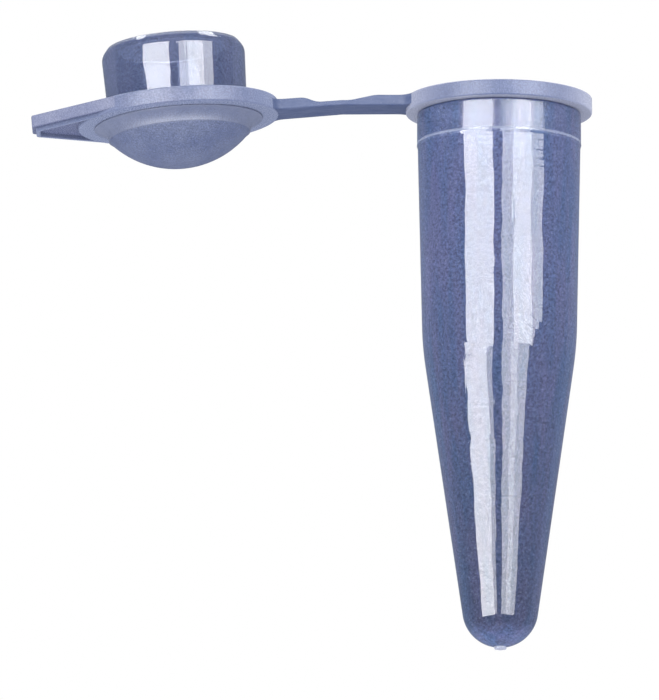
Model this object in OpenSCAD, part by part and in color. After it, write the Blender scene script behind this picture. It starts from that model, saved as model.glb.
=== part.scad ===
// Thin-wall 0.2 ml snap-cap reaction tube with a domed cap on a folding strap.
// Origin: centre of the underside of the rim, on the tube's axis. +Z points out
// of the mouth, the cap lies open towards -X. Millimetres.

/* [Tube] */
// Inside radius of the mouth
mouth_r = 2.8; // [2.74:0.01:2.84]
// Outside radius of the rim
rim_r = 3.5; // [3.3:0.05:3.8]
// Thickness of the rim
rim_t = 0.6; // [0.55:0.05:0.7]
// Outside radius of the collar below the rim
collar_r = 3.08; // [3.06:0.01:3.15]
// Length of the collar
collar_len = 1.15; // [0.9:0.05:1.6]
// Outside radius at the top of the barrel
barrel_top_r = 3.06; // [3.02:0.01:3.06]
// Outside radius where the barrel meets the cone
barrel_end_r = 2.89; // [2.8:0.01:2.95]
// Depth of the barrel's end below the rim
barrel_depth = 8.9; // [7:0.1:10]
// Outside radius of the round tip
tip_r = 1.42; // [1.2:0.02:1.6]
// Depth of the tip's centre below the rim
tip_depth = 18.92; // [17:0.02:20]
// Wall thickness of the barrel, cone and tip
wall = 0.31; // [0.25:0.01:0.34]
// Bevel that leads the plug into the mouth
lead_in = 0.15; // [0.1:0.01:0.2]
// Radius of the gate mark under the tip
gate_r = 0.23; // [0.15:0.01:0.3]
// How far the gate mark stands out below the tip
gate_h = 0.09; // [0.05:0.01:0.15]

/* [Cap] */
// Outside radius of the cap's disc
disc_r = 3.78; // [3.7:0.02:3.9]
// Thickness of the disc
disc_t = 0.6; // [0.6:0.05:0.7]
// Distance from the tube's axis to the disc's centre when open
cap_distance = 12.1; // [11.9:0.05:12.4]
// Outside radius of the plug
plug_r = 2.62; // [2.5:0.01:2.64]
// Outside radius of the sealing bead near the plug's end
bead_r = 2.7; // [2.65:0.01:2.71]
// Outside radius of the plug's bevelled end
plug_end_r = 2.46; // [2.4:0.01:2.55]
// Wall thickness of the plug
plug_wall = 0.42; // [0.3:0.01:0.5]
// Length of the plug
plug_len = 2.4; // [2.2:0.05:2.6]
// Radius of the dome's ball-shaped face
dome_ball_r = 3.55; // [3.2:0.05:4]
// Radius of the dome's edge
dome_edge_r = 2.64; // [2.5:0.02:2.7]
// Wall thickness of the dome
dome_wall = 0.4; // [0.3:0.01:0.5]
// Height of the moulded ring that carries the dome
ring_h = 0.5; // [0.45:0.05:0.6]
// Outside radius of that ring at the disc
ring_r = 3.17; // [3.14:0.01:3.3]

/* [Thumb tab] */
// Distance from the disc's centre to the tab's end
tab_reach = 5.5; // [5:0.1:6]
// Width of the tab's blunt end
tab_end_w = 1.24; // [1:0.02:1.6]
// Thickness of the tab
tab_t = 0.46; // [0.4:0.02:0.5]
// Inset of the raised lip from the tab's edge
lip_inset = 0.14; // [0.1:0.01:0.2]
// Width of the lip
lip_w = 0.16; // [0.12:0.01:0.2]
// Height of the lip
lip_h = 0.15; // [0.1:0.01:0.2]

/* [Strap] */
// Thickness of the strap
strap_t = 0.41; // [0.38:0.01:0.42]
// Thickness of the thin web at the fold
web_t = 0.2; // [0.15:0.01:0.25]
// Width of the strap at the tube
strap_tube_w = 1.65; // [1.5:0.05:1.8]
// Width of the strap at the cap
strap_cap_w = 1.83; // [1.6:0.05:1.9]
// Distance from the tube's axis to the bend beside the rim
tube_bend_x = 4.05; // [4.03:0.01:4.1]
// Distance from the tube's axis to the bend beside the disc
cap_bend_x = 8.05; // [8:0.01:8.06]
// Corner radius between the strap and the rim
tube_fillet = 0.6; // [0.4:0.05:0.65]
// Corner radius between the strap and the disc
cap_fillet = 0.45; // [0.3:0.05:0.5]
// Turn of both outer bends in the fold that sets where the open cap sags from, in degrees
droop = 30; // [29:0.5:32]
// How far the open cap sags past flat, in degrees
open_tilt = 4.5; // [0:0.5:6]

/* [Hidden] */
$fn = 96;
cut = 1;                                  // extra length of every cutting solid
seat_gap = 0.02;                          // clearance between the closed cap and the rim
strap_top = rim_t - 0.01;                 // the strap's top, a hair under the rim's
strap_low = strap_top - strap_t;
cap_face = rim_t + 0.15;                  // height of the disc's plug side, strap flat
strap_in_cap = strap_low - cap_face;      // the strap's underside, seen from the cap

// The cone is tangent to the ball of the tip: its half angle follows from both radii.
function taper(r_top, r_ball, drop) =
    atan2(r_top, drop) - asin(r_ball / norm([r_top, drop]));
cone_drop = tip_depth - barrel_depth;
half_angle = taper(barrel_end_r, tip_r, cone_drop);
tip_plane = tip_depth + tip_r * sin(half_angle);      // depth where cone and ball meet
tip_plane_r = tip_r * cos(half_angle);

inner_top_r = barrel_top_r - wall;
inner_end_r = barrel_end_r - wall;
inner_tip_r = tip_r - wall;

// The bends of the strap, seen from the side as [x, z]: one under the strap, one over it,
// and between them the point the open cap sags about, where a half turn, with both outer
// bends at full droop, would set the cap on the mouth.
bend_gap = 0.01;
bend_tube = [-tube_bend_x, strap_low - bend_gap];
bend_cap = [-cap_bend_x, strap_top + bend_gap];
cap_open = [-cap_distance, cap_face];
cap_shut = [0, rim_t + seat_gap];
span = cap_open + cap_shut - bend_tube - bend_cap;
turned = [span[0] * cos(droop) + span[1] * sin(droop), span[1] * cos(droop) - span[0] * sin(droop)];
fold = (bend_tube + bend_cap + turned) / 2;
web_x = [-5.6, -6.87];                    // ends of the thin web
ramp_x = [-4.66, -7.32];                  // where the ramps beside it reach the strap's top

clear_blue = [0.56, 0.62, 0.78, 0.55];
frost = [0.74, 0.78, 0.87, 0.9];
strap_blue = [0.5, 0.56, 0.72, 0.8];

// A ring about the Z axis between two heights, with a straight or tapering outside.
module ring(low, high, outer_low, outer_high, inner) {
    difference() {
        translate([0, 0, low]) cylinder(h = high - low, r1 = outer_low, r2 = outer_high);
        translate([0, 0, low - cut]) cylinder(h = high - low + 2 * cut, r = inner);
    }
}

// Lays the cap's own frame (plug up, strap towards +X) in its open, sagging place.
module open_cap() {
    translate([fold[0], 0, fold[1]]) rotate([0, -open_tilt, 0])
        translate([cap_open[0] - fold[0], 0, cap_open[1] - fold[1]]) children();
}

// Plan of the root where a strap leaves a disc: the strap's end with a rounded corner
// on each side. The line from the disc's centre to the corner circle bounds the corner.
module root_plan(disc, half_w, fillet, reach) {
    corner_y = half_w + fillet;
    corner_x = sqrt(pow(disc + fillet, 2) - pow(corner_y, 2));
    difference() {
        polygon([[0, 0], [corner_x, corner_y], [corner_x, half_w], [reach, half_w],
                 [reach, -half_w], [corner_x, -half_w], [corner_x, -corner_y]]);
        circle(r = disc);
        for (side = [-1, 1]) translate([corner_x, side * corner_y]) circle(r = fillet);
    }
}

module rim_flange() {
    color(frost) difference() {
        ring(0, rim_t, rim_r, rim_r, mouth_r);
        translate([0, 0, rim_t - lead_in])
            cylinder(h = lead_in, r1 = mouth_r, r2 = mouth_r + 0.8 * lead_in);
    }
}

module mouth_collar() {
    color(clear_blue) ring(-collar_len, 0, collar_r, collar_r, mouth_r);
}

module barrel() {
    color(clear_blue) difference() {
        translate([0, 0, -barrel_depth])
            cylinder(h = barrel_depth - collar_len, r1 = barrel_end_r, r2 = barrel_top_r);
        translate([0, 0, -barrel_depth])
            cylinder(h = barrel_depth - collar_len, r1 = inner_end_r, r2 = inner_top_r);
    }
}

// The ball inside the tip has the same centre as the ball outside.
module cone_bore() {
    inner_angle = taper(inner_end_r, inner_tip_r, cone_drop);
    meet = tip_depth + inner_tip_r * sin(inner_angle);
    translate([0, 0, -meet])
        cylinder(h = meet - barrel_depth, r1 = inner_tip_r * cos(inner_angle), r2 = inner_end_r);
    translate([0, 0, -tip_depth]) sphere(r = inner_tip_r);
}

module cone() {
    color(clear_blue) difference() {
        translate([0, 0, -tip_plane])
            cylinder(h = tip_plane - barrel_depth, r1 = tip_plane_r, r2 = barrel_end_r);
        cone_bore();
    }
}

module tip() {
    color(clear_blue) difference() {
        translate([0, 0, -tip_depth]) sphere(r = tip_r);
        translate([0, 0, -tip_depth]) sphere(r = inner_tip_r);
        translate([0, 0, -tip_plane]) cylinder(h = 2 * tip_r, r = 2 * tip_r);
    }
}

module gate_mark() {
    color(clear_blue) difference() {
        translate([0, 0, -tip_depth - tip_r - gate_h]) cylinder(h = 3 * gate_h, r = gate_r);
        translate([0, 0, -tip_depth]) sphere(r = tip_r);
    }
}

module tube_strap_root() {
    color(strap_blue) translate([0, 0, strap_low]) mirror([1, 0, 0])
        linear_extrude(strap_t) root_plan(rim_r, strap_tube_w / 2, tube_fillet, tube_bend_x);
}

// Both strap halves are bars from the fold to a bend, thinned from above beside the fold.
// The end at the fold leans by an angle, so that it stands upright once the cap sags.
module strap_bar(bend_x, web_x, ramp_x, lean) {
    web_top = strap_low + web_t;
    function end_at(z) = fold[0] - (fold[1] - z) * tan(lean);
    intersection() {
        rotate([90, 0, 0]) translate([0, 0, -strap_cap_w]) linear_extrude(2 * strap_cap_w)
            polygon([[end_at(strap_low), strap_low], [end_at(web_top), web_top], [web_x, web_top],
                     [ramp_x, strap_top], [bend_x, strap_top], [bend_x, strap_low]]);
        translate([0, 0, -cut]) linear_extrude(rim_t + 2 * cut)
            polygon([[-tube_bend_x, strap_tube_w / 2], [-cap_bend_x, strap_cap_w / 2],
                     [-cap_bend_x, -strap_cap_w / 2], [-tube_bend_x, -strap_tube_w / 2]]);
    }
}

module strap_tube_half() {
    color(strap_blue) strap_bar(-tube_bend_x, web_x[0], ramp_x[0], 0);
}

module strap_cap_half() {
    color(strap_blue) translate([fold[0], 0, fold[1]]) rotate([0, -open_tilt, 0])
        translate([-fold[0], 0, -fold[1]])
            strap_bar(-cap_bend_x, web_x[1], ramp_x[1], open_tilt);
}

module cap_strap_root() {
    color(strap_blue) open_cap() translate([0, 0, strap_in_cap]) linear_extrude(strap_t)
        root_plan(disc_r, strap_cap_w / 2, cap_fillet, cap_distance - cap_bend_x);
}

module cap_disc() {
    color(frost) open_cap() ring(-disc_t, 0, disc_r, disc_r, plug_r - plug_wall);
}

// Plan of the tab: two edges that leave a circle on its tangent and run to the blunt end.
module tab_plan(circle_r, reach, half_end) {
    corner = norm([reach, half_end]);
    touch = atan2(half_end, reach) + acos(circle_r / corner);
    polygon([[-circle_r * cos(touch), circle_r * sin(touch)], [-reach, half_end],
             [-reach, -half_end], [-circle_r * cos(touch), -circle_r * sin(touch)]]);
}

module thumb_tab() {
    color(frost) open_cap() translate([0, 0, -tab_t]) linear_extrude(tab_t) difference() {
        tab_plan(disc_r, tab_reach, tab_end_w / 2);
        circle(r = disc_r);
    }
}

module tab_lip() {
    outer = disc_r - lip_inset;
    inner = outer - lip_w;
    color(frost) open_cap() translate([0, 0, -tab_t - lip_h]) linear_extrude(lip_h) difference() {
        tab_plan(outer, tab_reach - lip_inset, tab_end_w / 2 - lip_inset / 2);
        tab_plan(inner, tab_reach - lip_inset - lip_w, tab_end_w / 2 - lip_inset / 2 - lip_w);
        circle(r = disc_r);
    }
}

module plug_skirt() {
    color(clear_blue) open_cap() ring(0, plug_len * 0.6, plug_r, plug_r, plug_r - plug_wall);
}

// The plug's free end: a gentle rise to the bead, then a bevel that finds the mouth.
module seal_bead() {
    color(clear_blue) open_cap() rotate_extrude()
        polygon([[plug_r - plug_wall, plug_len * 0.6], [plug_r, plug_len * 0.6],
                 [bead_r, plug_len * 0.77], [bead_r, plug_len * 0.85],
                 [plug_end_r, plug_len], [plug_r - plug_wall, plug_len]]);
}

// The ring under the disc has a hollow flank that runs down to the dome's edge.
module dome_ring() {
    neck_r = dome_edge_r + 0.04;
    flank_r = ring_h - 0.06;
    color(frost) open_cap() translate([0, 0, -disc_t - ring_h]) rotate_extrude() difference() {
        translate([plug_r - plug_wall, 0]) square([ring_r - plug_r + plug_wall, ring_h]);
        translate([neck_r + flank_r, 0]) circle(r = flank_r);
        translate([neck_r + flank_r, -cut]) square([ring_r, flank_r + cut]);
    }
}

module cap_dome() {
    centre_up = sqrt(pow(dome_ball_r, 2) - pow(dome_edge_r, 2));
    color(frost) open_cap() translate([0, 0, -disc_t - ring_h]) difference() {
        translate([0, 0, centre_up]) sphere(r = dome_ball_r);
        translate([0, 0, centre_up]) sphere(r = dome_ball_r - dome_wall);
        cylinder(h = 3 * dome_ball_r, r = 2 * dome_ball_r);
    }
}

rim_flange();
mouth_collar();
barrel();
cone();
tip();
gate_mark();
tube_strap_root();
strap_tube_half();
strap_cap_half();
cap_strap_root();
cap_disc();
thumb_tab();
tab_lip();
plug_skirt();
seal_bead();
dome_ring();
cap_dome();
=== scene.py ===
import math
import bpy
import numpy as np
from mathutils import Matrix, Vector


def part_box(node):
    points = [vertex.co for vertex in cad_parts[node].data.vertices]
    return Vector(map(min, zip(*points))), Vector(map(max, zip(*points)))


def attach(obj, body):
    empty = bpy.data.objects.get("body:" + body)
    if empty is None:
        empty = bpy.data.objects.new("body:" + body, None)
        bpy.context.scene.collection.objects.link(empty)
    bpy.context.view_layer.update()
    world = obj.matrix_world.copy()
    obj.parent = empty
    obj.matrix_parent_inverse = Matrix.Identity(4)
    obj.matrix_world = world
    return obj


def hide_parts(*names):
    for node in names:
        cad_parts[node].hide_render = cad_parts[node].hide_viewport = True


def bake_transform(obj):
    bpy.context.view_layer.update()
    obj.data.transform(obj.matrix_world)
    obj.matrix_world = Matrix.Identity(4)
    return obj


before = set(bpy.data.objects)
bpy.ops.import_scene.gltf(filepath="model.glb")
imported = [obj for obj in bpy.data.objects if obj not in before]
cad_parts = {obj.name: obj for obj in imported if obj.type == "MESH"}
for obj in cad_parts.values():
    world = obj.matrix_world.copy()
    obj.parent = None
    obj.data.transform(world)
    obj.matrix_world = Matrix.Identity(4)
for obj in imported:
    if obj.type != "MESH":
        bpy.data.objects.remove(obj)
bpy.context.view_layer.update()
mm = 0.001  # shapes are worked out in millimetres and stored in metres


# Measures from the frame.
def reach(node):
    # lowest and highest corner of a CAD node, in millimetres
    low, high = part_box(node)
    return np.array(low) / mm, np.array(high) / mm


rimLow, rimHigh = reach("rim_flange")
collarLow, collarHigh = reach("mouth_collar")
barrelHigh = reach("barrel")[1]
coneLow, coneHigh = reach("cone")
tipLow = reach("tip")[0]
gateLow, gateHigh = reach("gate_mark")


# Shape helpers.
# Polygon with rounded corners. An arc's centre is the corner plus the unit bisector times
# radius / sin(half the corner's angle). A support point stands half a radius, or at most a
# fifth of the flat, beyond each end of the arc, and keeps the flat shaded flat.
def roundedLine(corners, radii, arcSteps=6):
    corners = np.asarray(corners, float)
    pieces = []
    for index, radius in enumerate(radii):
        here = corners[index]
        if radius == 0:
            pieces.append(here[None])
            continue
        back = corners[index - 1] - here
        ahead = corners[(index + 1) % len(corners)] - here
        backLength, aheadLength = np.linalg.norm(back), np.linalg.norm(ahead)
        back, ahead = back / backLength, ahead / aheadLength
        halfAngle = math.acos(np.clip(back @ ahead, -1, 1)) / 2
        tangent = radius / math.tan(halfAngle)
        bisector = (back + ahead) / np.linalg.norm(back + ahead)
        centre = here + bisector * radius / math.sin(halfAngle)
        first, last = here + back * tangent - centre, here + ahead * tangent - centre
        startTurn = math.atan2(first[1], first[0])
        sweep = (math.atan2(last[1], last[0]) - startTurn + math.pi) % (2 * math.pi) - math.pi
        turn = startTurn + sweep * np.linspace(0, 1, arcSteps + 1)
        arc = centre + radius * np.stack([np.cos(turn), np.sin(turn)], -1)
        besideBack, besideAhead = (min(0.5 * radius, 0.2 * max(flat - tangent, 0.01))
                                   for flat in (backLength, aheadLength))
        pieces.append(np.vstack([arc[0] + back * besideBack, arc,
                                 arc[-1] + ahead * besideAhead]))
    return np.vstack(pieces)


# Circle arc in the (r, z) plane: centre + radius (sin a, -cos a), a from straight down.
def ballArc(centreZ, radius, fromAngle, toAngle, steps):
    angle = np.radians(np.linspace(fromAngle, toAngle, steps))
    return np.stack([radius * np.sin(angle), centreZ - radius * np.cos(angle)], -1)


# Profile turned about the vertical axis: (r cos a, r sin a, z).
def turned(profile, steps=240):
    angle = np.linspace(0, 2 * np.pi, steps, endpoint=False)
    radius, height = profile[:, 0, None], profile[:, 1, None]
    return np.stack([radius * np.cos(angle), radius * np.sin(angle),
                     height + 0 * angle], -1)


# Cap's own frame (disc centre, plug up) laid open: moved out flat, then turned by the sag
# about a point over the web: x' = x cos t - z sin t, z' = x sin t + z cos t, from there.
capValues = {
    "distance": 12.1,    # tube axis to disc centre, strap flat
    "faceHeight": 0.75,  # plug side of the disc above the rim's underside
    "sag": 4.5,          # degrees past flat
    "sagAbout": (-5.9, 0, 0.6448),
}


def sagged(points, degrees):
    turn, centre = np.radians(degrees), capValues["sagAbout"]
    x, z = points[..., 0] - centre[0], points[..., 2] - centre[2]
    return np.stack([centre[0] + x * np.cos(turn) - z * np.sin(turn), points[..., 1],
                     centre[2] + x * np.sin(turn) + z * np.cos(turn)], -1)


def openPlace(points):
    flat = points + np.array([-capValues["distance"], 0, capValues["faceHeight"]])
    return sagged(flat, capValues["sag"])


# Closed skin over a grid of points. It wraps in the second direction; in the first it wraps
# too (looped), or the first and last rows each shrink to one point. Positive volume = outward.
def skin(name, grid, looped=False):
    rows, columns = grid.shape[:2]
    if looped:
        points = grid.reshape(-1, 3)
        index = np.arange(rows * columns).reshape(rows, columns)
        upper = np.roll(index, -1, 0)
        caps = np.empty((0, 3), int)
        lower = index
    else:
        points = np.vstack([grid[0, :1], grid[1:-1].reshape(-1, 3), grid[-1, :1]])
        index = 1 + np.arange((rows - 2) * columns).reshape(rows - 2, columns)
        lower, upper = index[:-1], index[1:]
        first, last = index[0], index[-1]
        caps = np.vstack([
            np.stack([np.zeros_like(first), np.roll(first, -1), first], -1),
            np.stack([np.full_like(last, len(points) - 1), last, np.roll(last, -1)], -1)])
    quads = np.stack([lower, np.roll(lower, -1, 1), np.roll(upper, -1, 1), upper],
                     -1).reshape(-1, 4)
    corners = np.vstack([quads[:, [0, 1, 2]], quads[:, [0, 2, 3]], caps])
    a, b, c = (points[corners[:, k]] for k in range(3))
    if np.einsum("ij,ij->", a, np.cross(b, c)) < 0:
        quads, caps = quads[:, ::-1], caps[:, ::-1]
    mesh = bpy.data.meshes.new(name)
    mesh.from_pydata((points * mm).tolist(), [], quads.tolist() + caps.tolist())
    mesh.polygons.foreach_set("use_smooth", np.ones(len(mesh.polygons), bool))
    mesh.update()
    piece = bpy.data.objects.new(name, mesh)
    bpy.context.scene.collection.objects.link(piece)
    print("piece", name, len(mesh.polygons), "faces")
    return piece


# Node helpers. An input given a socket is linked to it; any other value is set.
def add(tree, kind, inputs=None, **settings):
    node = tree.nodes.new("ShaderNode" + kind)
    for key, value in settings.items():
        setattr(node, key, value)
    for key, value in (inputs or {}).items():
        if isinstance(value, bpy.types.NodeSocket):
            tree.links.new(value, node.inputs[key])
        else:
            node.inputs[key].default_value = value
    return node


def maths(tree, kind, first, second, clamp=False):
    return add(tree, "Math", {0: first, 1: second}, operation=kind, use_clamp=clamp).outputs[0]


def times(tree, first, second):
    return maths(tree, "MULTIPLY", first, second)


def plus(tree, first, second):
    return maths(tree, "ADD", first, second)


def mixOf(tree, factor, first, second, blend="MIX"):
    return add(tree, "Mix", {0: factor, 6: first, 7: second}, data_type="RGBA",
               blend_type=blend).outputs[2]


def grey(tree, value):
    return add(tree, "CombineColor", {0: value, 1: value, 2: value}).outputs[0]


def ranged(tree, value, low, high, toLow=0.0, toHigh=1.0):
    return add(tree, "MapRange", {"Value": value, "From Min": low, "From Max": high,
                                  "To Min": toLow, "To Max": toHigh}).outputs[0]


def heightOf(tree, place):
    # height in millimetres
    return times(tree, add(tree, "SeparateXYZ", {0: place}).outputs[2], 1 / mm)


def perMillimetre(tree, size):
    # a texture scale whose features are that many millimetres wide
    return maths(tree, "DIVIDE", 1 / mm, size)


def newGroup(name, inputs, output):
    group = bpy.data.node_groups.new(name, "ShaderNodeTree")
    for label, value in inputs.items():
        if value is None:
            group.interface.new_socket(label, in_out="INPUT", socket_type="NodeSocketVector")
        else:
            socket = group.interface.new_socket(label, in_out="INPUT",
                                                socket_type="NodeSocketFloat")
            socket.default_value = value
    group.interface.new_socket(output, in_out="OUTPUT", socket_type="NodeSocketFloat")
    return group, group.nodes.new("NodeGroupInput").outputs


def putOut(group, value):
    group.links.new(value, group.nodes.new("NodeGroupOutput").inputs[0])
    return group


# Grain: noise of the given size, its contrast stretched about the middle.
def makeGrainGroup():
    group, given = newGroup("plasticGrain", {"Vector": None, "Size": 0.08, "Contrast": 1.5},
                            "Grain")
    noise = add(group, "TexNoise", {"Vector": given["Vector"],
                                    "Scale": perMillimetre(group, given["Size"]),
                                    "Detail": 3.0, "Roughness": 0.65}).outputs["Fac"]
    stretched = times(group, maths(group, "SUBTRACT", noise, 0.5), given["Contrast"])
    return putOut(group, maths(group, "ADD", stretched, 0.5, clamp=True))


# Specks: one dot in each cell whose random value is above 1 - share, fading from its middle.
def makeSpeckGroup():
    group, given = newGroup("dustSpecks", {"Vector": None, "Size": 0.2, "Share": 0.3,
                                           "Dot": 0.16}, "Specks")
    cells = add(group, "TexVoronoi", {"Vector": given["Vector"],
                                      "Scale": perMillimetre(group, given["Size"])}).outputs
    lucky = maths(group, "GREATER_THAN", cells["Color"],
                  maths(group, "SUBTRACT", 1.0, given["Share"]))
    near = ranged(group, cells["Distance"], 0.0, given["Dot"], 1.0, 0.0)
    return putOut(group, times(group, lucky, near))


# Streaks: noise stretched along the axis, as the plastic flowed down the mould.
def makeStreakGroup():
    group, given = newGroup("flowStreaks", {"Vector": None, "Width": 0.5, "Stretch": 8.0},
                            "Streaks")
    upright = maths(group, "DIVIDE", 1.0, given["Stretch"])
    squeeze = add(group, "CombineXYZ", {0: 1.0, 1: 1.0, 2: upright}).outputs[0]
    squeezed = add(group, "VectorMath", {0: given["Vector"], 1: squeeze},
                   operation="MULTIPLY").outputs[0]
    noise = add(group, "TexNoise", {"Vector": squeezed, "Detail": 2.0,
                                    "Scale": perMillimetre(group, given["Width"])})
    return putOut(group, ranged(group, noise.outputs["Fac"], 0.35, 0.65))


# Rings: noise that changes with height only, apart from a slight wobble, faded in above the
# low height and out below the high one (in millimetres).
def makeRingGroup():
    group, given = newGroup("mouldRings", {"Vector": None, "Spacing": 0.2, "Low": -2.8,
                                           "High": -1.2, "Wobble": 0.12, "Fade in": 0.5,
                                           "Fade out": 0.1}, "Rings")
    height = heightOf(group, given["Vector"])
    wander = add(group, "TexNoise", {"Vector": given["Vector"], "Scale": 400.0}).outputs["Fac"]
    shifted = plus(group, height, times(group, wander, given["Wobble"]))
    lines = add(group, "TexNoise", {"W": maths(group, "DIVIDE", shifted, given["Spacing"]),
                                    "Scale": 1.0, "Detail": 2.0}, noise_dimensions="1D")
    above = ranged(group, height, given["Low"], plus(group, given["Low"], given["Fade in"]))
    below = ranged(group, height, given["High"],
                   maths(group, "SUBTRACT", given["High"], given["Fade out"]))
    return putOut(group, times(group, lines.outputs["Fac"], times(group, above, below)))


grainGroup = makeGrainGroup()
speckGroup = makeSpeckGroup()
streakGroup = makeStreakGroup()
ringGroup = makeRingGroup()


def use(tree, group, inputs):
    return add(tree, "Group", inputs, node_tree=group).outputs[0]


def newMaterial(name):
    material = bpy.data.materials.new(name)
    material.use_nodes = True
    tree = material.node_tree
    shader = tree.nodes["Principled BSDF"]
    coordinates = tree.nodes.new("ShaderNodeTexCoord").outputs["Object"]
    return material, tree, shader, coordinates


# Bump that follows a height; a rise of 1 stands out by the depth, in millimetres.
def bumped(tree, shader, height, strength, depth):
    bump = add(tree, "Bump", {"Height": height, "Strength": strength, "Distance": depth * mm})
    tree.links.new(bump.outputs[0], shader.inputs["Normal"])


# Clear wall: the tint wanders between two blues with the streaks, grain darkens it and dust
# dots pale it; the surface ripples by streaks and rings. Above a given height it is duller.
# A pale line between two heights is a painted highlight, in the dust's colour. Heights, sizes and
# widths are in millimetres.
clearValues = {
    "tint": (0.31, 0.44, 0.72, 1),
    "tintWarm": (0.45, 0.475, 0.75, 1),
    "streakWidth": 0.55,
    "grainSize": 0.1,
    "grainContrast": 2.2,
    "grainDepth": 0.6,
    # pale colour of the dust specks, also the colour of the painted highlight line
    "dustAndHighlight": (0.85, 0.9, 1.0, 1),
    "speckSize": 0.13,
    "speckShare": 0.5,
    "speckDot": 0.38,
    "speckPale": 0.27,
    "speckDull": 0.02,
    "tipShade": 0.3,         # how much darker the colour grows toward the tip
    "tipShadeFrom": -6.0,
    "tipShadeTo": -19.0,
    "tipBright": 1.7,        # how much paler the colour is at the thick end below the cavity
    "tipBrightFrom": -19.55,
    "tipBrightTo": -20.0,
    "gloss": 0.03,
    "collarHeight": -1.15,
    "collarFade": 0.03,
    "collarDull": 0.15,
    "haze": 0.22,
    "ior": 1.49,
    "streakWave": 0.5,
    "ringWave": 1.8,
    "ripple": 0.5,
    "rippleDepth": 0.02,
    "lineAxis": (0, 0, 1),   # painted highlight: a pale line between two heights along this axis
    "lineFrom": -1.2,
    "lineTo": -1.12,
    "lineOutside": 0.03,     # how far the line fades beyond each edge
    "lineInside": 0.01,
    "paintedHighlightStrength": 0.8,
}


# Painted highlight line's strength: rises past its lower height and falls past its upper one.
def paintedHighlightLine(tree, place, v):
    along = add(tree, "VectorMath", {0: place, 1: v["lineAxis"]},
                operation="DOT_PRODUCT").outputs[1]
    along = times(tree, along, 1 / mm)
    low, high = v["lineFrom"], v["lineTo"]
    rise = ranged(tree, along, low - v["lineOutside"], low + v["lineInside"])
    fall = ranged(tree, along, high + v["lineOutside"], high - v["lineInside"])
    return times(tree, times(tree, rise, fall), v["paintedHighlightStrength"])


def clearMaterial(name, changes=None):
    v = dict(clearValues, **(changes or {}))
    material, tree, shader, place = newMaterial(name)
    streaks = use(tree, streakGroup, {"Vector": place, "Width": v["streakWidth"]})
    grain = use(tree, grainGroup, {"Vector": place, "Size": v["grainSize"],
                                   "Contrast": v["grainContrast"]})
    specks = use(tree, speckGroup, {"Vector": place, "Size": v["speckSize"],
                                    "Share": v["speckShare"], "Dot": v["speckDot"]})
    rings = use(tree, ringGroup, {"Vector": place})
    tint = mixOf(tree, streaks, v["tint"], v["tintWarm"])
    darker = mixOf(tree, v["grainDepth"], tint, grey(tree, grain), "MULTIPLY")
    height = heightOf(tree, place)
    depth = times(tree,
                  ranged(tree, height, v["tipShadeFrom"], v["tipShadeTo"], 1.0, 1 - v["tipShade"]),
                  ranged(tree, height, v["tipBrightFrom"], v["tipBrightTo"], 1.0, v["tipBright"]))
    shaded = mixOf(tree, 1.0, darker, grey(tree, depth), "MULTIPLY")
    dusty = mixOf(tree, times(tree, specks, v["speckPale"]), shaded, v["dustAndHighlight"])
    # painted highlight: the pale line mixed into the base colour
    highlightPainted = mixOf(tree, paintedHighlightLine(tree, place, v), dusty, v["dustAndHighlight"])
    tree.links.new(highlightPainted, shader.inputs["Base Color"])
    collar = ranged(tree, height, v["collarHeight"] - v["collarFade"],
                    v["collarHeight"] + v["collarFade"])
    dull = plus(tree, times(tree, collar, v["collarDull"]), times(tree, specks, v["speckDull"]))
    tree.links.new(plus(tree, dull, v["gloss"]), shader.inputs["Roughness"])
    wave = plus(tree, times(tree, streaks, v["streakWave"]), times(tree, rings, v["ringWave"]))
    bumped(tree, shader, wave, v["ripple"], v["rippleDepth"])
    shader.inputs["Transmission Weight"].default_value = 1 - v["haze"]
    shader.inputs["IOR"].default_value = v["ior"]
    return material


# Frosted skin: milky blue that wanders cloudily, a fine grain in the bump and the gloss,
# a few pale specks, and a painted sheen where it is seen at a glancing angle (on the tab a painted
# shade).
frostValues = {
    "milk": (0.07, 0.095, 0.185, 1),
    "milkPale": (0.105, 0.13, 0.225, 1),
    "cloudSize": 1.3,
    "cloudContrast": 2.5,
    "grainSize": 0.05,
    "grainContrast": 3.0,
    "grainDepth": 0.22,
    "grainDull": 0.16,
    "speck": (0.5, 0.52, 0.6, 1),
    "speckSize": 0.16,
    "speckShare": 0.4,
    "speckPale": 0.3,
    "gloss": 0.18,
    "specular": 0.24,
    "ior": 1.49,
    "paintedSheenAndShade": (0.44, 0.445, 0.5, 1),   # painted sheen, where seen at a glancing angle
    "glancingPaintShare": 1.0,
    "bump": 0.3,
    "bumpDepth": 0.012,
}


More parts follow.
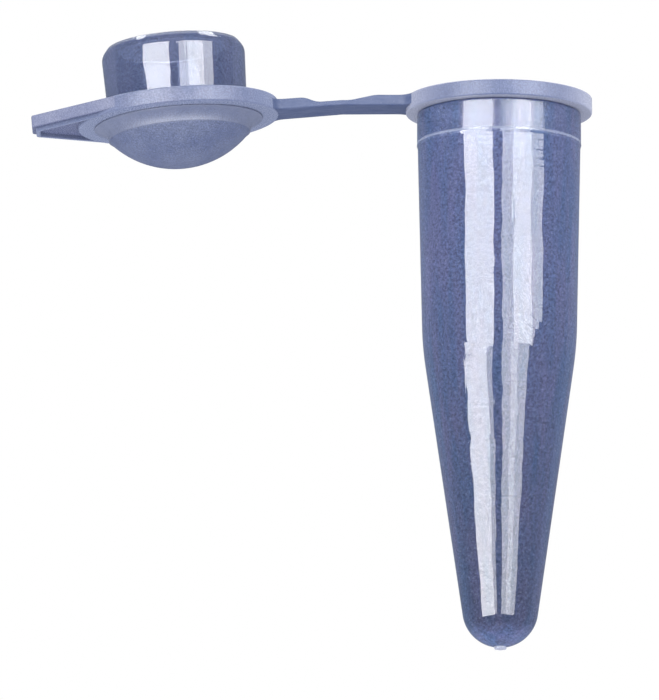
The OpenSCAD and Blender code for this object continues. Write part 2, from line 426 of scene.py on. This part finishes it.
def frostMaterial(name, changes=None):
    v = dict(frostValues, **(changes or {}))
    material, tree, shader, place = newMaterial(name)
    cloud = use(tree, grainGroup, {"Vector": place, "Size": v["cloudSize"],
                                   "Contrast": v["cloudContrast"]})
    grain = use(tree, grainGroup, {"Vector": place, "Size": v["grainSize"],
                                   "Contrast": v["grainContrast"]})
    specks = use(tree, speckGroup, {"Vector": place, "Size": v["speckSize"],
                                    "Share": v["speckShare"]})
    milk = mixOf(tree, cloud, v["milk"], v["milkPale"])
    grained = mixOf(tree, v["grainDepth"], milk, grey(tree, grain), "OVERLAY")
    pale = mixOf(tree, times(tree, specks, v["speckPale"]), grained, v["speck"])
    # painted sheen: the base colour turns to the glancing colour as the surface is seen edge-on;
    # on the tab that colour is darker, a painted shade
    glancing = add(tree, "LayerWeight", {"Blend": 0.5}).outputs["Facing"]
    glancingPainted = mixOf(tree, times(tree, glancing, v["glancingPaintShare"]), pale, v["paintedSheenAndShade"])
    tree.links.new(glancingPainted, shader.inputs["Base Color"])
    tree.links.new(plus(tree, v["gloss"], times(tree, grain, v["grainDull"])),
                   shader.inputs["Roughness"])
    bumped(tree, shader, grain, v["bump"], v["bumpDepth"])
    shader.inputs["IOR"].default_value = v["ior"]
    shader.inputs["Specular IOR Level"].default_value = v["specular"]
    return material


# Strap skin: satin blue with lengthwise flow lines and pale scuffs.
strapValues = {
    "body": (0.07, 0.095, 0.18, 1),
    "scuff": (0.14, 0.165, 0.25, 1),
    "scuffShare": 0.55,
    "flowSize": 0.18,
    "flowContrast": 2.6,
    "flowSquash": (0.25, 1.0, 1.0),   # stretches the flow lines along the strap
    "grainSize": 0.06,
    "grainContrast": 2.0,
    "grainDull": 0.2,
    "grainWave": 0.25,
    "speck": (0.3, 0.32, 0.4, 1),
    "speckSize": 0.2,
    "speckShare": 0.3,
    "speckPale": 0.35,
    "gloss": 0.38,
    "specular": 0.15,
    "ior": 1.49,
    "bump": 0.5,
    "bumpDepth": 0.015,
}


def strapMaterial(name, v):
    material, tree, shader, place = newMaterial(name)
    lengthwise = add(tree, "Mapping", {"Vector": place, "Scale": v["flowSquash"]}).outputs[0]
    flow = use(tree, grainGroup, {"Vector": lengthwise, "Size": v["flowSize"],
                                  "Contrast": v["flowContrast"]})
    grain = use(tree, grainGroup, {"Vector": place, "Size": v["grainSize"],
                                   "Contrast": v["grainContrast"]})
    specks = use(tree, speckGroup, {"Vector": place, "Size": v["speckSize"],
                                    "Share": v["speckShare"]})
    scuffed = mixOf(tree, times(tree, flow, v["scuffShare"]), v["body"], v["scuff"])
    dusty = mixOf(tree, times(tree, specks, v["speckPale"]), scuffed, v["speck"])
    tree.links.new(dusty, shader.inputs["Base Color"])
    tree.links.new(plus(tree, v["gloss"], times(tree, grain, v["grainDull"])),
                   shader.inputs["Roughness"])
    wave = plus(tree, flow, times(tree, grain, v["grainWave"]))
    bumped(tree, shader, wave, v["bump"], v["bumpDepth"])
    shader.inputs["Specular IOR Level"].default_value = v["specular"]
    shader.inputs["IOR"].default_value = v["ior"]
    return material


# Heights along the open cap's own axis: the point's share along (-sin t, 0, cos t).
sagTurn = math.radians(capValues["sag"])
capUp = (-math.sin(sagTurn), 0, math.cos(sagTurn))
plugLength = 2.4
plugTop = float(openPlace(np.array([0, 0, plugLength])) @ np.array(capUp))
aboveAll = 900.0   # a collar height that the plug never reaches
vesselSkin = clearMaterial("clearVessel")
# the plug's painted highlight: a pale line just under its end stands in for a reflection on the
# rim
plugSkin = clearMaterial("clearPlug", {"tipShade": 0.0, "lineAxis": capUp,
                                       "collarHeight": aboveAll,
                                       "lineFrom": plugTop - 0.12, "lineTo": plugTop - 0.02,
                                       "paintedHighlightStrength": 0.9, "haze": 0.15, "grainDepth": 0.45,
                                       "tint": (0.36, 0.43, 0.64, 1),
                                       "tintWarm": (0.42, 0.46, 0.66, 1)})
rimSkin = frostMaterial("frostRim")
capSkin = frostMaterial("frostCap", {"milk": (0.09, 0.115, 0.2, 1),
                                     "milkPale": (0.15, 0.165, 0.245, 1),
                                     "paintedSheenAndShade": (0.25, 0.28, 0.38, 1)})
domeSkin = frostMaterial("frostDome", {"grainSize": 0.06, "grainDepth": 0.34, "bump": 0.5,
                                       "milk": (0.075, 0.1, 0.195, 1), "gloss": 0.5,
                                       "milkPale": (0.13, 0.155, 0.24, 1),
                                       "glancingPaintShare": 0.06, "specular": 0.55})
# tab: pale face-on and dark edge-on, painted light on its edge band and painted shade on its
# underside
tabSkin = frostMaterial("frostTab", {"milk": (0.19, 0.205, 0.285, 1),
                                     "milkPale": (0.26, 0.27, 0.34, 1),
                                     "paintedSheenAndShade": (0.11, 0.125, 0.215, 1)})
ringSkin = frostMaterial("frostRing", {"gloss": 0.5, "glancingPaintShare": 0.15, "specular": 0.5,
                                       "milk": (0.125, 0.15, 0.235, 1),
                                       "milkPale": (0.17, 0.19, 0.27, 1)})
gateSkin = frostMaterial("frostGate", {"milk": (0.3, 0.32, 0.4, 1),
                                       "milkPale": (0.36, 0.38, 0.44, 1)})
strapSkin = strapMaterial("satinStrap", strapValues)
print("materials made")


def finishPiece(piece, material, nodes):
    piece.data.materials.append(material)
    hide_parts(*nodes)


# Tube: vessel, rim, gate mark.
vesselValues = {
    "wall": 0.31,            # barrel, cone and tip
    "tipRadius": 1.42,
    "mouthRadius": 2.8,
    "topGap": 0.012,         # between the collar's end and the rim
    "barrelDraw": 0.004,     # barrel's top inside its widest
    "shoulderBelow": 0.16,   # from the collar's foot down to the barrel's top
    "ringHeight": 0.01,      # fine raised ring at the collar's foot
    "ringBelow": 0.06,
    "ringAbove": 0.03,
    "boreAbove": 0.3,        # the bore narrows from above the collar's foot to below it
    "boreBelow": 2.4,
    "kneeRounding": 13.0,    # where barrel turns into cone
    "boreRounding": 8.0,
    "shoulderRounding": 0.06,
    "ringRounding": 0.02,
    "endRounding": 0.04,
}


# Outside, from the tip's pole up: ball, cone, barrel, raised ring, collar; then down the
# inside to the inner pole. The cone is tangent to both balls.
def vesselProfile(v):
    ballZ = tipLow[2] + v["tipRadius"]
    slope = math.degrees(math.asin(np.clip((ballZ - coneLow[2]) / v["tipRadius"], 0, 1)))
    outerBall = ballArc(ballZ, v["tipRadius"], 0, 90 - slope, 28)
    innerBall = ballArc(ballZ, v["tipRadius"] - v["wall"], 0, 90 - slope, 24)
    barrelTop, barrelEnd, collar = barrelHigh[0], coneHigh[0], collarHigh[0]
    kneeZ, footZ, topZ = coneHigh[2], collarLow[2], collarHigh[2] - v["topGap"]
    knee, ring, end = v["kneeRounding"], v["ringRounding"], v["endRounding"]
    line = [outerBall[-1], (barrelEnd, kneeZ),
            (barrelTop - v["barrelDraw"], footZ - v["shoulderBelow"]),
            (collar + v["ringHeight"], footZ - v["ringBelow"]), (collar, footZ + v["ringAbove"]),
            (collar, topZ), (v["mouthRadius"], topZ), (v["mouthRadius"], footZ + v["boreAbove"]),
            (barrelTop - v["wall"], footZ - v["boreBelow"]), (barrelEnd - v["wall"], kneeZ),
            innerBall[-1]]
    rounding = [0, knee, v["shoulderRounding"], ring, ring, end, end, v["boreRounding"],
                v["boreRounding"], knee, 0]
    wall = roundedLine(line, rounding, 7)
    return np.vstack([outerBall[:-1], wall, innerBall[-2::-1]])


vessel = skin("vesselShell", turned(vesselProfile(vesselValues)))
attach(vessel, "tube")
finishPiece(vessel, vesselSkin, ["mouth_collar", "barrel", "cone", "tip"])

rimValues = {
    "mouthRadius": 2.8, "leadIn": 0.12, "leadInHeight": 0.15,
    "edgeRounding": 0.06, "mouthRounding": 0.03, "leadInRounding": (0.04, 0.05),
}


# Rim: a rounded rectangle in (r, z) with a bevel that leads into the mouth.
def rimProfile(v):
    outer, low, high = rimHigh[0], rimLow[2], rimHigh[2]
    corners = [(v["mouthRadius"], low), (outer, low), (outer, high),
               (v["mouthRadius"] + v["leadIn"], high),
               (v["mouthRadius"], high - v["leadInHeight"])]
    return roundedLine(corners, [v["mouthRounding"], v["edgeRounding"], v["edgeRounding"],
                                 *v["leadInRounding"]])


rim = skin("rimFlange", turned(rimProfile(rimValues)), looped=True)
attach(rim, "tube")
finishPiece(rim, rimSkin, ["rim_flange"])

gateValues = {"rounding": 0.05, "topRounding": 0.01, "sunk": 0.03, "ragged": 0.012, "teeth": 5,
              "steps": 48}


# Gate mark: a little stump with a rounded, slightly ragged end, sunk into the tip's wall:
# its end rises and falls by ragged * sin(teeth * a), more toward the side and the end.
def gateGrid(v):
    radius, low, high = gateHigh[0], gateLow[2], tipLow[2] + v["sunk"]
    side = roundedLine([(0, low + v["ragged"]), (radius, low + v["ragged"]), (radius, high),
                        (0, high)], [0, v["rounding"], v["topRounding"], 0], 5)
    grid = turned(side, v["steps"])
    angle = np.linspace(0, 2 * np.pi, v["steps"], endpoint=False)
    lowSide = np.clip((high - grid[..., 2]) / (high - low), 0, 1) * (grid[..., :2] ** 2).sum(-1)
    grid[..., 2] -= v["ragged"] * np.sin(v["teeth"] * angle) * lowSide / radius ** 2
    return grid


gate = skin("gateStump", gateGrid(gateValues))
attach(gate, "tube")
finishPiece(gate, gateSkin, ["gate_mark"])
print("tube done")

# Strap in three blended lengths.
strapSizes = {
    "low": 0.18, "top": 0.59, "web": 0.2,   # heights, thickness of the web
    "webFrom": -5.6, "webTo": -6.87, "rampFrom": -4.66, "rampTo": -7.32,
    "rampEase": 0.16,                       # ramps are averaged over this much to each side
    "tubeHalf": 0.825, "capHalf": 0.915,    # half widths at the two bends
    "tubeBend": -4.05, "capBend": -8.05,
    "tubeFillet": 0.6, "tubeFilletAt": -3.8445, "tubeFlare": 0.5626,
    "capFillet": 0.45, "capFilletAt": -8.0963, "capFlare": 0.4259,
    "corner": 0.06, "endRow": 0.004,
    "sagFrom": -5.75, "sagOver": 0.35,      # where the sag sets in, and over what length
}


# Half width along the strap: straight between the bends, then arcs that flare into the
# rim and the disc: half + fillet - sqrt(fillet^2 - d^2), d past the arc's start.
def strapHalfWidth(x, v):
    middle = np.interp(-x, [-v["tubeBend"], -v["capBend"]], [v["tubeHalf"], v["capHalf"]])
    towardTube = np.clip(x - v["tubeFilletAt"], 0, v["tubeFlare"])
    towardCap = np.clip(v["capFilletAt"] - x, 0, v["capFlare"])
    flareTube = v["tubeFillet"] - np.sqrt(v["tubeFillet"] ** 2 - towardTube ** 2)
    flareCap = v["capFillet"] - np.sqrt(v["capFillet"] ** 2 - towardCap ** 2)
    return middle + flareTube + flareCap


# Top of the strap: two ramps down to the web, averaged over a short length to ease them.
def strapTop(x, v):
    offsets = np.linspace(-v["rampEase"], v["rampEase"], 9)[:, None]
    knots = [v["rampTo"], v["webTo"], v["webFrom"], v["rampFrom"]]
    web = v["low"] + v["web"]
    return np.interp(x + offsets, knots, [v["top"], web, web, v["top"]]).mean(0)


# A rounded rectangle (half width, low, top) carried along x, each end closed to a point; the
# part beyond the fold sags with the cap, eased in as e^2 (3 - 2 e) over the web.
def strapLength(fromX, toX, count, v):
    x = np.concatenate([[fromX, fromX, fromX - v["endRow"]],
                        np.linspace(fromX, toX, count)[1:-1], [toX + v["endRow"], toX, toX]])
    half, top = strapHalfWidth(x, v), strapTop(x, v)
    quarter = np.linspace(0, np.pi / 2, 12)
    corner = (quarter + np.pi / 2 * np.arange(4)[:, None]).ravel()
    sideY = np.repeat([1, -1, -1, 1], len(quarter))
    sideZ = np.repeat([1, 1, -1, -1], len(quarter))
    middle, tall = (top + v["low"]) / 2, (top - v["low"]) / 2
    y = sideY * (half - v["corner"])[:, None] + v["corner"] * np.cos(corner)
    z = middle[:, None] + sideZ * (tall - v["corner"])[:, None] + v["corner"] * np.sin(corner)
    grid = np.stack([x[:, None] + 0 * y, y, z], -1)
    grid[0] = grid[0].mean(0)
    grid[-1] = grid[-1].mean(0)
    ease = np.clip((v["sagFrom"] - grid[..., 0]) / v["sagOver"], 0, 1)
    return sagged(grid, capValues["sag"] * ease * ease * (3 - 2 * ease))


strapPieces = [
    ("strapTubeEnd", -3.2, -4.95, 50, "tube", "strap_inner", (-3.85, -4.3),
     ["tube_strap_root"]),
    ("strapFold", -4.95, -7.4, 90, "strap_inner", "strap_outer", (-5.5, -6.3),
     ["strap_tube_half", "strap_cap_half"]),
    ("strapCapEnd", -7.4, -8.65, 50, "strap_outer", "cap", (-7.8, -8.25),
     ["cap_strap_root"]),
]
for name, fromX, toX, count, bodyA, bodyB, bend, nodes in strapPieces:
    length = skin(name, strapLength(fromX, toX, count, strapSizes))
    finishPiece(length, strapSkin, nodes)
    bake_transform(length)
print("strap done")

# Cap: disc, tab, plug, dome.
discValues = {"outer": 3.775, "inner": 2.2, "thick": 0.6, "rounding": 0.06,
              "innerRounding": 0.02}


# Disc: a flat ring, plug side up, its outer edges rounded.
def discProfile(v):
    corners = [(v["inner"], 0), (v["outer"], 0), (v["outer"], -v["thick"]),
               (v["inner"], -v["thick"])]
    return roundedLine(corners, [v["innerRounding"], v["rounding"], v["rounding"],
                                 v["innerRounding"]])


disc = skin("capDisc", openPlace(turned(discProfile(discValues))), looped=True)
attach(disc, "cap")
finishPiece(disc, capSkin, ["cap_disc"])

plugValues = {
    "outer": 2.62, "inner": 2.2, "bead": 2.7, "end": 2.46, "length": plugLength,
    "beadHigh": 2.08, "endInner": 2.32, "innerBevel": 0.12, "floorGap": 0.006,
    "roundings": (0.02, 0.02, 0.5, 0.06, 0.04, 0.12),   # in the order of the corners
}


# Plug: a skirt that widens gently up to the bead, outer bevel, narrow end face, inner bevel.
def plugProfile(v):
    corners = [(v["inner"], v["floorGap"]), (v["outer"], v["floorGap"]),
               (v["bead"], v["beadHigh"]),
               (v["end"], v["length"]), (v["endInner"], v["length"]),
               (v["inner"], v["length"] - v["innerBevel"])]
    return roundedLine(corners, v["roundings"], 8)


plug = skin("plugWall", openPlace(turned(plugProfile(plugValues))), looped=True)
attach(plug, "cap")
finishPiece(plug, plugSkin, ["plug_skirt", "seal_bead"])

domeValues = {
    "ringOuter": 3.17, "ringTop": -0.605, "ringEdge": -0.66, "neck": 2.68, "foot": -1.1,
    "flank": 0.44, "ringInner": 2.25, "ringRoundings": (0.015, 0.02),
    "ball": 3.55, "edge": 2.64, "wall": 0.4,
    "innerEdge": 2.2, "innerAngle": 40.5,   # where the inside of the cup ends
    "edgeOut": 0.004, "edgeRise": 0.05, "edgeRounding": 0.02,
}


# Ring: short rim edge, hollow flank (a quarter circle) down to the neck, plain bore.
def domeRingProfile(v):
    angle = np.radians(np.linspace(90, 180, 22))
    centre = (v["neck"] + v["flank"], v["foot"])
    flank = np.stack([centre[0] + v["flank"] * np.cos(angle),
                      centre[1] + v["flank"] * np.sin(angle)], -1)
    edge = roundedLine([(v["ringInner"], v["ringTop"]), (v["ringOuter"], v["ringTop"]),
                        (v["ringOuter"], v["ringEdge"]), flank[0]],
                       [0, *v["ringRoundings"], 0], 4)
    return np.vstack([edge, flank[1:], [(v["ringInner"], v["foot"])]])


domeRing = skin("domeRing", openPlace(turned(domeRingProfile(domeValues))), looped=True)
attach(domeRing, "cap")
finishPiece(domeRing, ringSkin, ["dome_ring"])


# Dome: a ball-shaped cup; outer ball, rounded edge, inner ball.
def domeProfile(v):
    centreZ = v["foot"] + math.sqrt(v["ball"] ** 2 - v["edge"] ** 2)
    edgeAngle = math.degrees(math.asin(v["edge"] / v["ball"]))
    edgeZ = v["foot"] + v["edgeRise"]
    outer = ballArc(centreZ, v["ball"], 0, edgeAngle, 50)
    inner = ballArc(centreZ, v["ball"] - v["wall"], 0, v["innerAngle"], 40)
    rimLine = roundedLine([outer[-1], (v["edge"] + v["edgeOut"], edgeZ),
                           (v["innerEdge"], edgeZ), inner[-1]],
                          [0, v["edgeRounding"], v["edgeRounding"], 0], 4)
    return np.vstack([outer[:-1], rimLine, inner[-2::-1]])


dome = skin("capDome", openPlace(turned(domeProfile(domeValues))))
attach(dome, "cap")
finishPiece(dome, domeSkin, ["cap_dome"])

tabValues = {
    "disc": 3.773, "reach": 5.5, "halfEnd": 0.62, "thick": 0.46, "topGap": 0.006,
    "cornerRounding": 0.16, "edgeRounding": 0.05,
    "tailTurns": (12, 9, 6, 3), "tailInset": 0.012,   # plan line's run inside the disc
}


# Where a line from the tab's corner (-reach, half) touches a circle about the disc's centre:
# polar angle = atan(half / reach) + acos(radius / distance), taken from -X.
def tabTouch(radius, reachOut, half):
    angle = math.atan2(half, reachOut) + math.acos(radius / math.hypot(reachOut, half))
    return -radius * math.cos(angle), radius * math.sin(angle)


# Even steps along a polyline.
def resampled(line, count):
    steps = np.concatenate([[0], np.cumsum(np.linalg.norm(np.diff(line, axis=0), axis=1))])
    at = np.linspace(0, steps[-1], count)
    return np.stack([np.interp(at, steps, line[:, k]) for k in range(2)], -1)


# Plate over a closed plan line: the line is drawn in by e (1 - sin t) while the height
# moves by e (1 - cos t) at both rounded edges, and each face closes in its middle, past a
# row three roundings in.
def plate(name, outline, low, high, edge):
    along = np.roll(outline, -1, 0) - np.roll(outline, 1, 0)
    inward = np.stack([-along[:, 1], along[:, 0]], -1)
    inward /= np.linalg.norm(inward, axis=1)[:, None]
    area = (outline[:, 0] * np.roll(outline[:, 1], -1)
            - np.roll(outline[:, 0], -1) * outline[:, 1]).sum()
    inward *= np.sign(area)
    turn = np.linspace(0, np.pi / 2, 6)
    drawnIn = np.concatenate([[3 * edge], edge * (1 - np.sin(turn)),
                              edge * (1 - np.cos(turn)), [3 * edge]])
    level = np.concatenate([[low], low + edge * (1 - np.cos(turn)),
                            high - edge * (1 - np.sin(turn)), [high]])
    ring = outline[None] + inward[None] * drawnIn[:, None, None]
    rows = np.concatenate([ring, np.broadcast_to(level[:, None, None],
                                                 ring.shape[:2] + (1,))], -1)
    middle = outline.mean(0)
    first = np.broadcast_to(np.append(middle, low), rows[:1].shape)
    last = np.broadcast_to(np.append(middle, high), rows[:1].shape)
    return skin(name, openPlace(np.concatenate([first, rows, last])))


# Plan line: round the tab's end from one touching point to the other, each carried on a
# little way just inside the disc, so that no gap opens where the tab meets it.
def tabPlan(v):
    touchX, touchY = tabTouch(v["disc"], v["reach"], v["halfEnd"])
    onward = math.atan2(touchY, touchX) - np.radians(v["tailTurns"])
    tail = (v["disc"] - v["tailInset"]) * np.stack([np.cos(onward), np.sin(onward)], -1)
    corners = np.vstack([tail, [(touchX, touchY), (-v["reach"], v["halfEnd"]),
                                (-v["reach"], -v["halfEnd"]), (touchX, -touchY)],
                         tail[::-1] * [1, -1]])
    plain = [0.0] * (len(tail) + 1)
    outline = roundedLine(corners, plain + [v["cornerRounding"]] * 2 + plain, 8)
    return resampled(np.vstack([outline, outline[:1]]), 401)[:-1]


tab = plate("thumbTab", tabPlan(tabValues), -tabValues["thick"], -tabValues["topGap"],
            tabValues["edgeRounding"])
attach(tab, "cap")
finishPiece(tab, tabSkin, ["thumb_tab"])

lipValues = {
    "inset": 0.14, "width": 0.16, "height": 0.15, "sunk": 0.02,
    "cornerRounding": 0.12, "intoDisc": 0.12,
    "squareness": 0.45,   # power of the section's cosine and sine: 1 is an ellipse, 0 a box
}


# Lip: a small rounded bar carried along the tab's edge, inset; across the bar the plan
# normal (-dy, dx), and z down from the tab's underside.
def lipGrid(v, tabSizes):
    middle = v["inset"] + v["width"] / 2
    radius, reachOut = tabSizes["disc"] - middle, tabSizes["reach"] - middle
    half = tabSizes["halfEnd"] - v["inset"] / 2 - v["width"] / 2
    x, y = tabTouch(radius, reachOut, half)
    path = roundedLine([(x, y), (-reachOut, half), (-reachOut, -half), (x, -y)],
                       [0, v["cornerRounding"], v["cornerRounding"], 0], 8)
    path = resampled(path, 260)
    path = path[np.hypot(path[:, 0], path[:, 1]) > tabSizes["disc"] - v["intoDisc"]]
    along = np.gradient(path, axis=0)
    path, along = (np.vstack([line[:1], line[:1], line, line[-1:], line[-1:]])
                   for line in (path, along))
    normal = np.stack([-along[:, 1], along[:, 0]], -1)
    normal /= np.linalg.norm(normal, axis=1)[:, None]
    turn = np.linspace(0, 2 * np.pi, 32, endpoint=False)
    across, down = (np.sign(part) * np.abs(part) ** v["squareness"]
                    for part in (np.cos(turn), np.sin(turn)))
    plan = path[:, None] + normal[:, None] * (across * v["width"] / 2)[:, None]
    z = -tabSizes["thick"] - v["height"] / 2 + v["sunk"] + down * (v["height"] / 2 + v["sunk"])
    grid = np.concatenate([plan, np.broadcast_to(z[None, :, None],
                                                 plan.shape[:2] + (1,))], -1)
    grid[0], grid[-1] = grid[0].mean(0), grid[-1].mean(0)
    return grid


lip = skin("tabLip", openPlace(lipGrid(lipValues, tabValues)))
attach(lip, "cap")
finishPiece(lip, capSkin, ["tab_lip"])
print("cap done")

# Studio: world, floor, panels.
studioValues = {
    "seenThrough": (0.25, 0.28, 0.38, 1),   # surroundings as refracted rays find them
    "mirrored": (0.26, 0.29, 0.38, 1),      # surroundings as reflections find them
    "softAbove": (2.1, 2.15, 2.3, 1),       # soft light from above and from below
    "softBelow": (1.35, 1.4, 1.6, 1),
    "backdrop": (1.0, 1.0, 1.0, 1),
    "floorPale": (0.93, 0.93, 0.94, 1),
    "floorDepth": -0.2,                     # metres
    "floorHalf": 3.0,
    "horizonFade": 0.02,
    "panelCentre": (0, 0, -9),              # millimetres, the place the panels face
}


# Camera rays find the pale backdrop; refracted, mirrored and soft rays each their own light.
def surroundings(tree, camera, soft):
    light = add(tree, "LightPath")
    mirrored = mixOf(tree, light.outputs["Is Diffuse Ray"], studioValues["mirrored"], soft)
    refracted = mixOf(tree, light.outputs["Is Transmission Ray"], mirrored,
                      studioValues["seenThrough"])
    return mixOf(tree, light.outputs["Is Camera Ray"], refracted, camera)


world = bpy.data.worlds.new("studioWorld")
world.use_nodes = True
world.cycles.sampling_method = "NONE"
worldTree = world.node_tree
upward = add(worldTree, "SeparateXYZ",
             {0: worldTree.nodes.new("ShaderNodeTexCoord").outputs["Generated"]}).outputs[2]
fade = studioValues["horizonFade"]
horizon = mixOf(worldTree, ranged(worldTree, upward, -fade, fade), studioValues["floorPale"],
                studioValues["backdrop"])
softLight = mixOf(worldTree, ranged(worldTree, upward, -1.0, 1.0), studioValues["softBelow"],
                  studioValues["softAbove"])
worldTree.links.new(surroundings(worldTree, horizon, softLight),
                    worldTree.nodes["Background"].inputs["Color"])
bpy.context.scene.world = world

floorMesh = bpy.data.meshes.new("floor")
side, depth = studioValues["floorHalf"], studioValues["floorDepth"]
floorMesh.from_pydata([(-side, -side, depth), (side, -side, depth), (side, side, depth),
                       (-side, side, depth)], [], [(0, 1, 2, 3)])
floor = bpy.data.objects.new("floor", floorMesh)
bpy.context.scene.collection.objects.link(floor)
floorSkin = bpy.data.materials.new("paleFloor")
floorSkin.use_nodes = True
floorTree = floorSkin.node_tree
floorTree.nodes.remove(floorTree.nodes["Principled BSDF"])
glow = add(floorTree, "Emission", {
    "Color": surroundings(floorTree, studioValues["floorPale"], studioValues["softBelow"])})
floorSkin.cycles.emission_sampling = "NONE"
clearBack = add(floorTree, "BsdfTransparent")
sided = add(floorTree, "MixShader", {0: add(floorTree, "NewGeometry").outputs["Backfacing"],
                                     1: glow.outputs[0], 2: clearBack.outputs[0]})
floorTree.links.new(sided.outputs[0], floorTree.nodes["Material Output"].inputs["Surface"])
floorMesh.materials.append(floorSkin)

# Panels: azimuth from the camera's side (right is positive), elevation, radiance, distance.
# Only gloss finds them. The right one narrows downward in steps round a brighter core.
panelValues = [
    ("leftPanel", (-51, -9.5), (0, 26), 15.0, 0.35),
    ("leftStep", (-54, -10), (-3, 0), 15.0, 0.35),
    ("leftPanelLow", (-58, -20), (-26, -3), 15.0, 0.35),
    ("leftDimLow", (-20, -11), (-23, -3), 7.0, 0.36),
    ("rightWing", (5, 64), (8, 26), 8.5, 0.36),
    ("wingStepOne", (5, 60), (5, 8), 8.5, 0.36),
    ("wingStepTwo", (4, 55), (2, 5), 8.5, 0.36),
    ("wingStepThree", (4, 50), (-1, 2), 8.5, 0.36),
    ("rightWingLow", (3, 43), (-24, -1), 8.0, 0.36),
    ("rightCore", (20, 47), (-1, 26), 7.0, 0.35),
    ("rightCoreLow", (17, 29), (-24, -1), 4.0, 0.35),
    ("overhead", (-32, 32), (96, 112), 8.0, 0.35),
]


# Radiance L of a flat panel of area A needs power pi A L.
def makePanel(name, azimuths, elevations, radiance, distance):
    light = bpy.data.lights.new(name, "AREA")
    light.shape = "RECTANGLE"
    light.size = 2 * distance * math.tan(math.radians(azimuths[1] - azimuths[0]) / 2)
    light.size_y = 2 * distance * math.tan(math.radians(elevations[1] - elevations[0]) / 2)
    light.energy = radiance * math.pi * light.size * light.size_y
    azimuth, elevation = math.radians(sum(azimuths) / 2), math.radians(sum(elevations) / 2)
    outward = Vector((math.sin(azimuth) * math.cos(elevation),
                      -math.cos(azimuth) * math.cos(elevation), math.sin(elevation)))
    panel = bpy.data.objects.new(name, light)
    panel.location = Vector(studioValues["panelCentre"]) * mm + outward * distance
    panel.rotation_mode = "QUATERNION"
    panel.rotation_quaternion = (-outward).to_track_quat("-Z", "Y")
    panel.visible_camera = panel.visible_diffuse = panel.visible_transmission = False
    bpy.context.scene.collection.objects.link(panel)


for panel in panelValues:
    makePanel(*panel)

# Camera.
cameraValues = {
    "aim": (-6.37, 0, -9.03),   # middle of the view, in millimetres
    "elevation": -11.5,         # looks up from below
    "distance": 0.5,            # metres
    "seenHeight": 26.217,       # millimetres from top to bottom of the view
    "sensor": 36,
}
camera = bpy.data.cameras.new("camera")
camera.sensor_width = cameraValues["sensor"]
camera.lens = (cameraValues["sensor"] * cameraValues["distance"]
               / (cameraValues["seenHeight"] * mm))
camera.clip_start, camera.clip_end = 0.001, 20
cameraObject = bpy.data.objects.new("camera", camera)
tilt = math.radians(cameraValues["elevation"])
toward = Vector((0, math.cos(tilt), -math.sin(tilt)))
cameraObject.location = Vector(cameraValues["aim"]) * mm - toward * cameraValues["distance"]
cameraObject.rotation_mode = "QUATERNION"
cameraObject.rotation_quaternion = toward.to_track_quat("-Z", "Y")
bpy.context.scene.collection.objects.link(cameraObject)
bpy.context.scene.camera = cameraObject
bpy.context.scene.view_settings.view_transform = "Standard"
print("studio done")

bpy.context.view_layer.update()
